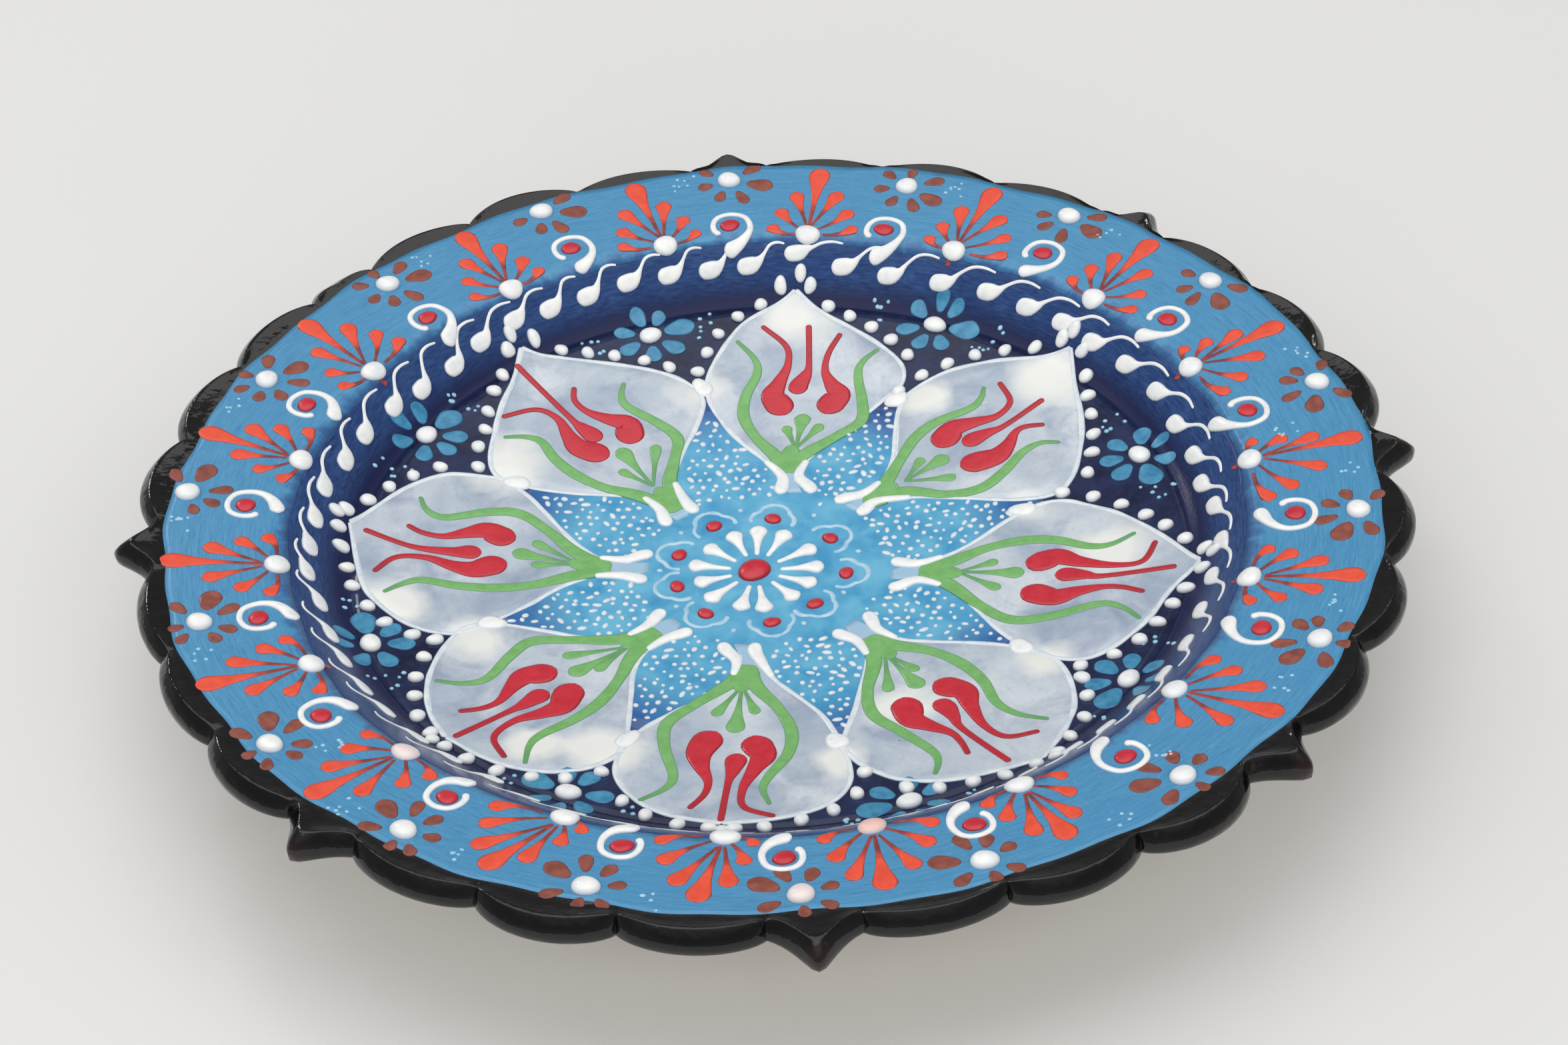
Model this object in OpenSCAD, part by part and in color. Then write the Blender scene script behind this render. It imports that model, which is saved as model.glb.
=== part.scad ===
// Hand painted ceramic plate with a scalloped black rim, in millimetres.
// The origin is at the bottom centre of the foot ring and +Z points up out of the well.
// The clay body carries thin fields of coloured glaze, and the raised enamel lies on those.
// Every painted piece is a flat outline, cut through a thin shell that follows the top of the body.

/* [Plate] */
// Diameter across two opposite points of the rim
rim_d = 180; // [178:1:184]
// Height of the inner end of the flange above the table
flange_z = 22.1; // [20:0.1:26]
// Rise of the flange from its inner end to the rim
flange_rise = 1.7; // [0:0.1:3]
// Height of the middle of the well above the table
well_z = 10.7; // [9:0.1:12]
// Rise of the well from its middle to the foot of its wall
well_rise = 4.6; // [3:0.1:5]

/* [Foot ring] */
// Outer radius of the foot ring
foot_r = 50; // [44:1:54]
// Width of the foot ring where it stands
foot_w = 4.5; // [3:0.5:7]
// Height of the foot ring
foot_h = 4.5; // [3:0.5:5]

/* [Rim] */
// Radius at which the black rim meets the blue flange
rim_in_r = 83; // [82:0.1:83.5]
// Radius at the cusps between two lobes
cusp_r = 84.2; // [84:0.1:85]
// Radius at the top of a round lobe
lobe_r = 87.2; // [86.5:0.1:88]
// Thickness of the rim
rim_t = 3.9; // [3.2:0.1:5]
// Bevel of the edges of a lobe
rim_bevel = 1; // [0.6:0.1:1.2]

/* [Paint] */
// Thickness of a field of glaze
glaze_t = 0.4; // [0.3:0.05:0.5]
// Height of the raised enamel above the glaze
enamel_t = 0.5; // [0.3:0.05:0.8]
// Radius of the middle of a fan's white dot
fan_r = 66.4; // [66:0.1:67]
// Length of a fan's middle drop
fan_l = 17; // [14:0.5:17]
// Radius at the middle of the brown flowers
flower_r = 78.5; // [77:0.5:78.5]
// Length of a petal of the brown flowers
flower_l = 2.8; // [2.4:0.1:2.8]
// Radius at the red dots in the curls
curl_r = 70.5; // [70:0.5:72]
// Number of commas in the band on the well's wall
commas = 58; // [40:1:60]

/* [Hidden] */
$fn = 64;

// Headings of the hand-spaced ornament, in degrees from +X
fan_at = [1, 21, 40.5, 61, 80.5, 100, 120.5, 143.5, 163, 183.5, 203, 222.5, 242.5, 261, 277, 294, 318, 339.5];
flower_at = [11.5, 32, 51.5, 70.5, 90, 111, 131.5, 152, 172, 193, 213.5, 231.5, 250, 269, 285.5, 306.5, 330, 350.5];
curl_at = [10, 30.5, 50.5, 71, 90.5, 110.5, 132.5, 154, 173.5, 193.5, 212, 231.5, 251.5, 268, 287, 305, 330.5, 350.5];
petal_at = [41, 83, 123, 169, 217, 260.5, 304.5, 349.5];

// Radii at which the fields of glaze meet
well_r = 59;
cavetto_r = 65;
petal_in_r = 16.6;
petal_out_r = 58.8;
neck_half = 1.2;
speckles_in_r = 18.5;
touch_r = 41.5;
navy_flower_r = 55;
rosette_r = 15;

// Eight narrow points stand round the rim, with three round lobes between two of them
points = 8;
point_a = 360 / points;
point_half = 4;
lobe_a = (point_a - 2 * point_half) / 3;
tip_r = rim_d / 2;
rim_top = flange_z + flange_rise + 1.2;

function polar(r, a) = [r * cos(a), r * sin(a)];
function lerp(a, b, t) = a + (b - a) * t;

// A heading halfway from one entry of a list of headings to the next
function next_in(list, i) = i + 1 < len(list) ? list[i + 1] : list[0] + 360;
function between(list) = [for (i = [0:len(list) - 1]) (list[i] + next_in(list, i)) / 2];

// Height of the body's top surface: a shallow dish, a steep wall and a nearly flat flange
function dish_z(r) = well_z + well_rise * pow(r / well_r, 2);
wall_z = flange_z - 0.9;
TOP = concat(
    [for (r = [0:well_r / 5:well_r]) [r, dish_z(r)]],
    [
        [lerp(well_r, cavetto_r, 0.35), lerp(dish_z(well_r), wall_z, 0.28)],
        [lerp(well_r, cavetto_r, 0.7), lerp(dish_z(well_r), wall_z, 0.7)],
        [cavetto_r, wall_z],
        [cavetto_r + 2, flange_z],
        [rim_in_r, flange_z + flange_rise]
    ]
);

function top_z(r) = lookup(r, TOP);
function slope(r) = atan(top_z(r + 0.5) - top_z(r - 0.5));
flange_a = slope((cavetto_r + rim_in_r) / 2);

// Radius of the rim's outline at a turn from the point before it
function point_r(turn) = cusp_r + (tip_r - cusp_r) * pow(1 - abs(turn) / point_half, 1.5);
function lobe_edge_r(turn) = let (u = 2 * (turn / lobe_a - floor(turn / lobe_a)) - 1)
    cusp_r + (lobe_r - cusp_r) * pow(1 - u * u, 0.75);
function rim_r(turn) = turn <= point_half ? point_r(turn) : lobe_edge_r(turn - point_half);
lobe_step = lobe_a / 10;
rim_turns = concat(
    [for (t = [-point_half:1:point_half - 1]) t],
    [for (t = [0:29]) point_half + t * lobe_step]
);
function rim_outline(inset) = [for (k = [0:points - 1], t = rim_turns)
    polar(rim_r(t) - inset, k * point_a + t)];

// Outlines of brush marks, drawn along +X from the origin
function drop(l, w) = concat(
    [[0, 0]],
    [for (a = [-110:55:110]) [l - w / 2 + w / 2 * cos(a), w / 2 * sin(a)]]
);
function heading(p, i) = let (
    d = p[min(i + 1, len(p) - 1)] - p[max(i - 1, 0)]
) [-d.y, d.x] / norm(d);
function stroke(p, w) = concat(
    [for (i = [0:len(p) - 1]) p[i] + heading(p, i) * w[i] / 2],
    [for (i = [len(p) - 1:-1:0]) p[i] - heading(p, i) * w[i] / 2]
);
// Half width of a big petal at t, from 0 at its neck to 1 at its pointed tip, where w is its widest
function petal_half(t, w) = w * pow(sin(180 * pow(t, 1.25)), 0.8) + neck_half * (1 - t);
// Half the turn to the next petal sets how wide a petal is on that side
function turn_after(i) = next_in(petal_at, i) - petal_at[i];
function turn_before(i) = i == 0 ? turn_after(len(petal_at) - 1) : turn_after(i - 1);
function petal_side(i, s) = touch_r * sin((s > 0 ? turn_after(i) : turn_before(i)) / 2) - 1;
// One long edge of petal i on side s, from its neck to its tip
function petal_edge(i, s) = [for (t = [0:0.1:0.9])
    [lerp(petal_in_r, petal_out_r, t), s * petal_half(t, petal_side(i, s))]];
function reversed(list) = [for (k = [len(list) - 1:-1:0]) list[k]];
function petal(i) = concat(petal_edge(i, -1), [[petal_out_r, 0]], reversed(petal_edge(i, 1)));

// A shell that follows the top of the body, between two heights above it
module shell(low, high, in_r, out_r) {
    line = concat(
        [for (p = TOP) p + [0, low]],
        [for (i = [len(TOP) - 1:-1:0]) TOP[i] + [0, high]]
    );
    intersection() {
        rotate_extrude() polygon(line);
        difference() {
            cylinder(h = 2 * rim_top, r = out_r);
            if (in_r > 0) translate([0, 0, -1]) cylinder(h = 2 * rim_top + 2, r = in_r);
        }
    }
}

// Flat outlines given the thickness of a glaze field, or of the enamel on it
module glaze(in_r, out_r) {
    intersection() {
        shell(0, glaze_t, in_r, out_r);
        linear_extrude(2 * rim_top) children();
    }
}
module enamel(in_r, out_r) {
    intersection() {
        shell(glaze_t, glaze_t + enamel_t, in_r, out_r);
        linear_extrude(2 * rim_top) children();
    }
}

// Flat marks of enamel that lie on the tilted surface at radius r and heading a, with +X outwards
module lie(r, a, lean) {
    rotate(a) translate([r, 0, top_z(r) + glaze_t]) rotate([0, -lean, 0]) children();
}
module stamp(r, a, turn = 0) {
    lie(r, a, slope(r)) rotate(turn) linear_extrude(enamel_t) children();
}
module bead(r, a, dot_r) {
    lie(r, a, slope(r)) cylinder(h = enamel_t, r = dot_r, $fn = 24);
}

// A bead in the middle of each of five places, in mm outwards and sideways
module speckles(r, a) {
    for (p = [[0, 0], [1.5, 0.5], [0.1, 1.7], [1.7, 2.2], [-1.3, 0.9]])
        bead(r + p.x, a + atan(p.y / r), 0.3);
}

module clay_body() {
    foot_in_r = foot_r - foot_w;
    under = [
        [rim_in_r, rim_top - rim_t],
        [cavetto_r + 9, flange_z - 3.6],
        [cavetto_r + 2, flange_z - 6.5],
        [well_r, dish_z(well_r) - 6],
        [foot_r + 1.5, foot_h + 1.5],
        [foot_r, 0.6],
        [foot_r - 0.8, 0],
        [foot_in_r + 0.8, 0],
        [foot_in_r, 0.6],
        [foot_in_r - 1, foot_h],
        [0, foot_h]
    ];
    color("ivory") rotate_extrude($fn = 180) polygon(concat(TOP, under));
}

module scalloped_rim() {
    base = rim_top - rim_t;
    // Height above the rim's base, thickness and inset of each layer
    layers = [
        [0, rim_t - rim_bevel, rim_bevel],
        [rim_bevel, rim_t - 2 * rim_bevel, 0],
        [rim_bevel, rim_t - rim_bevel, rim_bevel]
    ];
    color("#232326") difference() {
        union() {
            for (layer = layers) translate([0, 0, base + layer[0]]) linear_extrude(layer[1])
                polygon(rim_outline(layer[2]));
        }
        cylinder(h = 2 * rim_top, r = rim_in_r, $fn = 180);
    }
}

module flange_glaze() {
    color("#4a96c4") shell(0, glaze_t, cavetto_r, rim_in_r);
}

module cavetto_glaze() {
    color("#2d4b87") shell(0, glaze_t, well_r, cavetto_r);
}

module all_petals() {
    for (i = [0:len(petal_at) - 1]) rotate(petal_at[i]) polygon(petal(i));
}

module white_petals() {
    color("#c8d2e1") glaze(petal_in_r, well_r) all_petals();
}

module turquoise_ground() {
    color("#46a5d2") glaze(0, touch_r) difference() {
        circle(touch_r);
        all_petals();
    }
}

module well_ground() {
    color("#23284b") glaze(touch_r, well_r) difference() {
        circle(well_r);
        all_petals();
    }
}

module petal_outlines() {
    line_w = 0.6;
    color("white") enamel(petal_in_r, well_r) for (i = [0:len(petal_at) - 1]) {
        path = concat(petal_edge(i, -1), [[petal_out_r - line_w, 0]], reversed(petal_edge(i, 1)));
        rotate(petal_at[i]) polygon(stroke(path, [for (p = path) line_w]));
    }
}

module petal_feet() {
    spread = 14;
    color("white") {
        for (a = petal_at, s = [-1, 1]) stamp(petal_in_r + 4.6, a, 180 + s * spread)
            polygon(drop(5, 2.2));
        for (a = between(petal_at)) bead(touch_r + 1, a, 1.1);
    }
}

module petal_edge_dots() {
    color("white")
        for (i = [0:len(petal_at) - 1], s = [-1, 1], t = [0.72:0.055:0.95])
            let (x = lerp(petal_in_r, petal_out_r, t), y = s * (petal_half(t, petal_side(i, s)) + 1.3))
            bead(norm([x, y]), petal_at[i] + atan(y / x), 0.7);
}

module leaf_speckles() {
    color("white")
        for (a = between(petal_at), i = [0:6], j = [-2:2])
            if (abs(j) <= 3 - abs(i - 2) * 0.5)
                let (x = speckles_in_r + i * 2.9, y = j * 2.2 + (i % 2) * 0.8 - 0.4)
                bead(norm([x, y]), a + atan(y / x), 0.35);
}

module tulip_lobes() {
    lobe_x = [34.5, 36.5, 39.5, 43, 47, 51, 54.5];
    lobe_y = [2.2, 4.2, 4.6, 3.2, 2.3, 3.1, 5];
    lobe_w = [1.2, 3.6, 4, 2, 1.2, 1, 0.9];
    side = [for (i = [0:len(lobe_x) - 1]) [lobe_x[i], lobe_y[i]]];
    color("#c8283c") enamel(rosette_r, well_r) for (a = petal_at) rotate(a) {
        polygon(stroke(side, lobe_w));
        mirror([0, 1]) polygon(stroke(side, lobe_w));
        translate([55, 0]) rotate(180) polygon(drop(16, 3.4));
    }
}

module tulip_leaves() {
    leaf_x = [20.5, 25, 30, 35, 40, 45, 49];
    leaf_y = [0.6, 3.8, 7, 9.4, 9.6, 8.4, 9.4];
    leaf_w = [1.8, 2, 1.9, 1.7, 1.4, 1.1, 0.8];
    side = [for (i = [0:len(leaf_x) - 1]) [leaf_x[i], leaf_y[i]]];
    color("#7db96e") enamel(rosette_r, well_r) for (a = petal_at) rotate(a) {
        polygon(stroke(side, leaf_w));
        mirror([0, 1]) polygon(stroke(side, leaf_w));
    }
}

module tulip_sprigs() {
    color("#6fae62") for (a = petal_at, s = [-1, 0, 1])
        stamp(23.5 + abs(s) * 0.8, a + s * 1.6, s * 24) polygon(drop(s == 0 ? 8.5 : 7, 1.7));
}

module rosette_centre() {
    color("#c8283c") bead(0, 0, 2);
}

module rosette_drops() {
    color("white") for (i = [0:12]) stamp(2.8, i * 360 / 13) polygon(drop(5.2, 1.8));
}

module rosette_ring_dots() {
    color("#c8283c") for (i = [0:8]) bead(11.7, 10 + i * 40, 1.05);
}

module rosette_loops() {
    path = [for (a = [-120:40:120]) polar(2.3, a)];
    color("white") for (i = [0:8]) stamp(11.7, 10 + i * 40)
        polygon(stroke(path, [for (p = path) 0.5]));
}

module navy_flower_petals() {
    color("#3c8cb4") for (a = between(petal_at), i = [0:7]) stamp(navy_flower_r, a, i * 45)
        translate([1.3, 0]) polygon(drop(3, 1.7));
}

module navy_flower_centres() {
    color("white") for (a = between(petal_at)) bead(navy_flower_r, a, 1.15);
}

module navy_speckles() {
    color("white") for (a = between(petal_at), s = [-1, 1]) speckles(navy_flower_r + 0.8, a + s * 7 - 1);
}

module comma_band() {
    path = [[0, 0], [1.6, 1.6], [3, 1.9], [4.4, 3.2]];
    color("white") enamel(well_r, cavetto_r) for (i = [0:commas - 1])
        rotate(i * 360 / commas) translate([well_r + 0.4, 0]) polygon(stroke(path, [1.9, 1.5, 0.8, 0.5]));
}

module fan_drops() {
    turns = [0, -24, 24, -48, 48, -76, 76];
    sizes = [1, 0.76, 0.76, 0.56, 0.56, 0.42, 0.42];
    color("#eb553c") for (a = fan_at, i = [0:len(turns) - 1]) lie(fan_r, a, flange_a) rotate(turns[i])
        translate([1.3, 0]) linear_extrude(enamel_t) polygon(drop(fan_l * sizes[i] - 1.3, 2.2));
}

module fan_dots() {
    color("white") for (a = fan_at) lie(fan_r, a, flange_a) cylinder(h = enamel_t, r = 1.2, $fn = 24);
}

module curl_strokes() {
    hook = [for (a = [110:-45:-160]) polar(2.5, a)];
    path = concat([[-5.2, 1.6], [-3.4, 2.4]], hook);
    color("white") for (a = curl_at) stamp(curl_r, a) mirror([0, 1])
        polygon(stroke(path, concat([2, 1.2], [for (p = hook) 0.8])));
}

module curl_dots() {
    color("#c8283c") for (a = curl_at) bead(curl_r, a, 1.3);
}

module brown_flower_petals() {
    color("#8c4637") for (a = flower_at, i = [0:6]) stamp(flower_r, a, i * 360 / 7)
        translate([1.7, 0]) polygon(drop(flower_l, 1.9));
}

module brown_flower_centres() {
    color("white") for (a = flower_at) bead(flower_r, a, 1.5);
}

module flange_speckles() {
    color("white") for (a = between(flower_at), s = [-1, 1]) speckles(flower_r - 0.5, a + s * 4.5 - 0.5);
}

clay_body();
scalloped_rim();
flange_glaze();
cavetto_glaze();
well_ground();
white_petals();
turquoise_ground();
petal_outlines();
petal_feet();
petal_edge_dots();
leaf_speckles();
tulip_lobes();
tulip_leaves();
tulip_sprigs();
rosette_centre();
rosette_drops();
rosette_ring_dots();
rosette_loops();
navy_flower_petals();
navy_flower_centres();
navy_speckles();
comma_band();
fan_drops();
fan_dots();
curl_strokes();
curl_dots();
brown_flower_petals();
brown_flower_centres();
flange_speckles();
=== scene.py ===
"""Looks of a hand painted ceramic plate: fields of glaze and raised enamel on a scalloped dish.

Lengths are in millimetres until Marks.build() writes metres. Headings are degrees from +X.
"""
import math
import random

import bpy
import numpy as np
from mathutils import Matrix, Vector

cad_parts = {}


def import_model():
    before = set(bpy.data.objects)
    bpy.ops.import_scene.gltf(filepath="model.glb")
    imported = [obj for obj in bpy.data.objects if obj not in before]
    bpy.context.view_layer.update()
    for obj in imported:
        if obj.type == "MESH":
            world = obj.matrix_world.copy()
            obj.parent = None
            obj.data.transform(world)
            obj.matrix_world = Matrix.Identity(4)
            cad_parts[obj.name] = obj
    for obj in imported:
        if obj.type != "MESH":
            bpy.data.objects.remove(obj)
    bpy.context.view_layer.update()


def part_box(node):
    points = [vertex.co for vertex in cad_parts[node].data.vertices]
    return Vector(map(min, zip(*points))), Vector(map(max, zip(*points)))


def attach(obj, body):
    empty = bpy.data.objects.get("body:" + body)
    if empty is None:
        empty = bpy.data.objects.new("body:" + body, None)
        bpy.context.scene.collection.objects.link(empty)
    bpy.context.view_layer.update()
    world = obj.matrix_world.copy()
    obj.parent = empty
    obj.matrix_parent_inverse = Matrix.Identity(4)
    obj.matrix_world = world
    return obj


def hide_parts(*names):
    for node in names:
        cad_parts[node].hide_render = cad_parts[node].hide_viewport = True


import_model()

MM = 0.001
rng = random.Random(11)

# Heights and radii that the CAD nodes set
rim_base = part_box("scalloped_rim")[0].z / MM
tip_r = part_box("scalloped_rim")[1].x / MM
flange_out_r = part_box("flange_glaze")[1].x / MM
flange_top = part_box("flange_glaze")[1].z / MM
well_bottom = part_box("turquoise_ground")[0].z / MM
touch_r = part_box("turquoise_ground")[1].x / MM

# The dish: a shallow bowl, a wall between two radii, and a flange that rises slowly to the rim
glaze_t = 0.4
dish_rise = 0.00133
flange_tilt = 0.1
wall_in_r = 57.5
wall_out_r = 67.5


def cosd(a):
    return math.cos(math.radians(a))


def sind(a):
    return math.sin(math.radians(a))


def ease(t):
    t = np.clip(t, 0, 1)
    return t * t * (3 - 2 * t)


def surf(r):
    """Height of the glaze at radius r."""
    well = well_bottom + glaze_t + dish_rise * r * r
    flange = flange_top + flange_tilt * (r - flange_out_r)
    wall = ease((r - wall_in_r) / (wall_out_r - wall_in_r))
    return well * (1 - wall) + flange * wall


def lift(xy, h):
    """Points h above the glaze, measured along the surface's normal."""
    xy = np.asarray(xy, float)
    h = np.broadcast_to(np.asarray(h, float), xy.shape[:1])
    r = np.maximum(np.hypot(xy[:, 0], xy[:, 1]), 1e-6)
    k = (surf(r + 0.05) - surf(r - 0.05)) / 0.1
    out = xy / r[:, None]
    n = np.column_stack([-k * out[:, 0], -k * out[:, 1], np.ones_like(k)])
    n /= np.sqrt(1 + k * k)[:, None]
    return np.column_stack([xy, surf(r)]) + n * h[:, None]


def polar(r, a):
    return (r * cosd(a), r * sind(a))


def turned(points, a, at=(0.0, 0.0)):
    """Points given outwards and sideways from a place, turned to heading a."""
    c, s = cosd(a), sind(a)
    return [(at[0] + c * x - s * y, at[1] + s * x + c * y) for x, y in points]


def by_heading(table, a):
    """A value that changes smoothly with heading, from a list of (heading, value)."""
    heads = [t[0] for t in table] + [table[0][0] + 360]
    values = [t[1] for t in table] + [table[0][1]]
    return float(np.interp((a - heads[0]) % 360 + heads[0], heads, values))


class Marks:
    """Closed meshes for one piece at a time. edge is 1 along a mark's border and 0 in its middle."""

    def __init__(self):
        self.clear()

    def clear(self):
        self.verts, self.faces, self.edge, self.tint = [], [], [], []
        self.count = 0

    def add(self, verts, faces, edge=0.0, tint=0.0):
        verts = np.asarray(verts, float)
        self.verts.append(verts)
        self.faces += [[i + self.count for i in f] for f in faces]
        self.edge.append(np.broadcast_to(edge, len(verts)))
        self.tint.append(np.broadcast_to(tint, len(verts)))
        self.count += len(verts)

    def build(self, name, material):
        mesh = bpy.data.meshes.new(name)
        mesh.from_pydata((np.vstack(self.verts) * MM).tolist(), [], self.faces)
        for label, values in (("edge", self.edge), ("tint", self.tint)):
            layer = mesh.attributes.new(label, "FLOAT", "POINT")
            layer.data.foreach_set("value", np.concatenate(values).astype(np.float32))
        mesh.shade_smooth()
        mesh.materials.append(material)
        piece = bpy.data.objects.new(name + "_look", mesh)
        bpy.context.scene.collection.objects.link(piece)
        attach(piece, "root")
        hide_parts(name)
        self.clear()


def curve(rows, step=0.5):
    """A smooth path through rows of numbers, whose first two columns are x and y."""
    p = np.asarray(rows, float)
    p = np.vstack([2 * p[0] - p[1], p, 2 * p[-1] - p[-2]])
    out = []
    for i in range(1, len(p) - 2):
        n = max(2, int(math.ceil(np.hypot(*(p[i + 1] - p[i])[:2]) / step)))
        for t in np.arange(n) / n:
            out.append(
                0.5 * (2 * p[i] + (p[i + 1] - p[i - 1]) * t
                       + (2 * p[i - 1] - 5 * p[i] + 4 * p[i + 1] - p[i + 2]) * t * t
                       + (3 * p[i] - p[i - 1] - 3 * p[i + 1] + p[i + 2]) * t ** 3)
            )
    out.append(p[-2])
    return np.array(out)


def along(path, at):
    """The path's rows at the given distances from its start."""
    s = np.concatenate([[0], np.cumsum(np.hypot(*np.diff(path[:, :2], axis=0).T))])
    return np.column_stack([np.interp(at, s, path[:, c]) for c in range(path.shape[1])])


def length(path):
    return float(np.hypot(*np.diff(path[:, :2], axis=0).T).sum())


def ring_faces(rings, n):
    return [[i * n + j, i * n + (j + 1) % n, (i + 1) * n + (j + 1) % n, (i + 1) * n + j]
            for i in range(rings - 1) for j in range(n)]


def domed_faces(rings, n):
    """Faces of rings of n points between a first point on top and a last one below."""
    last = 1 + rings * n
    faces = [[0, 1 + j, 1 + (j + 1) % n] for j in range(n)]
    faces += [[i + 1 for i in f[::-1]] for f in ring_faces(rings, n)]
    return faces + [[last, last - n + (j + 1) % n, last - n + j] for j in range(n)]


# How far a mark's border dips into the glaze, how deep its underside lies, and its steepest side
SINK = 0.05
ROOT = 0.3
STEEP = 0.6

# How round the back of a mark is
RAISED = 0.75
FLAT = 0.25


def stroke(marks, points, widths, thick=0.4, across=7, tint=0.0, step=0.5, base=0.0, crown=RAISED):
    """A brush stroke with round ends. widths are half widths at the points, and base is what it lies on."""
    path = curve(np.column_stack([points, widths]), step / 2)
    total = length(path)
    caps = [min(path[0, 2], total / 2), min(path[-1, 2], total / 2)]
    bend = 1 - np.cos(np.linspace(0.12, math.pi / 2, 5))
    middle = np.arange(caps[0] + step, total - caps[1] - step / 3, step)
    at = np.concatenate([caps[0] * bend, middle, total - caps[1] * bend[::-1]])
    row = along(path, at)
    near = np.minimum(at / max(caps[0], 1e-6), (total - at) / max(caps[1], 1e-6))
    w = row[:, 2] * np.sqrt(np.clip(1 - (1 - np.clip(near, 0, 1)) ** 2, 0.004, 1))
    ahead = along(path, np.clip(at + 0.1, 0, total)) - along(path, np.clip(at - 0.1, 0, total))
    ahead = ahead[:, :2] / np.maximum(np.hypot(*ahead[:, :2].T), 1e-9)[:, None]
    side = np.column_stack([-ahead[:, 1], ahead[:, 0]])
    angle = np.linspace(-math.pi / 2, math.pi / 2, across)
    u = np.append(np.sin(angle), 0.0)
    dome = np.append(np.cos(angle).clip(0) ** crown, 0.0)
    verts = []
    for i in range(len(at)):
        high = min(thick, w[i] * STEEP)
        h = base + dome * (high + SINK) - SINK
        h[-1] = -ROOT
        verts.append(lift(row[i, :2] + side[i] * (u * w[i])[:, None], h))
    n = across + 1
    faces = ring_faces(len(at), n) + [list(range(n))[::-1], [(len(at) - 1) * n + j for j in range(n)]]
    edge = np.tile(np.append(np.abs(u[:-1]), 1.0), (len(at), 1))
    if crown == FLAT:
        edge = np.maximum(edge, np.clip(1.3 - w, 0, 0.93)[:, None])
    marks.add(np.vstack(verts), faces, edge.ravel(), tint)


def dot(marks, xy, rx, ry=None, turn=0.0, thick=0.4, rings=4, around=16, tint=0.0, wobble=0.04,
        rise=0.6, base=0.0, crown=RAISED):
    """A raised bead, rx along its heading turn and ry across it."""
    ry = rx if ry is None else ry
    phase = rng.uniform(0, 2 * math.pi)
    angle = np.arange(around) * 2 * math.pi / around
    shape = 1 + wobble * np.sin(2 * angle + phase) + wobble * 0.6 * np.sin(3 * angle + 2 * phase)
    c, s = cosd(turn), sind(turn)
    x, y = rx * np.cos(angle) * shape, ry * np.sin(angle) * shape
    rim = np.column_stack([c * x - s * y, s * x + c * y])
    high = min(thick, min(rx, ry) * rise)
    verts, edge = [lift([xy], base + high)], [0.0]
    for k in range(1, rings + 1):
        t = k / rings * math.pi / 2
        level = max(math.cos(t), 0.0) ** crown * (high + SINK) - SINK
        verts.append(lift(np.asarray(xy) + rim * math.sin(t), base + level))
        edge += [math.sin(t)] * around
    verts.append(lift([xy], -ROOT))
    edge.append(1.0)
    marks.add(np.vstack(verts), domed_faces(rings, around), np.array(edge), tint)


def drop(marks, tail, head, tail_w, head_w, thick=0.4, bow=0.0, **how):
    """A teardrop stroke from a fine tail to a round head, bowed sideways by bow."""
    tail, head = np.asarray(tail, float), np.asarray(head, float)
    way = head - tail
    size = float(np.hypot(*way))
    side = np.array([-way[1], way[0]]) / size
    points = [tail + way * t + side * bow * 4 * t * (1 - t) for t in (0, 0.35, 0.62, 0.84, 1.0)]
    widths = [tail_w, lerp(tail_w, head_w, 0.12), lerp(tail_w, head_w, 0.46), head_w, head_w * 0.96]
    stroke(marks, points, widths, thick, **how)


def lerp(a, b, t):
    return a + (b - a) * t


# ---- Materials ----


def rgb(r, g, b):
    """A colour from 0 to 255 as Blender's linear values."""
    shares = [c / 255 for c in (r, g, b)]
    return tuple(((c + 0.055) / 1.055) ** 2.4 if c > 10 / 255 else c / 12.92 for c in shares) + (1.0,)


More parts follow.
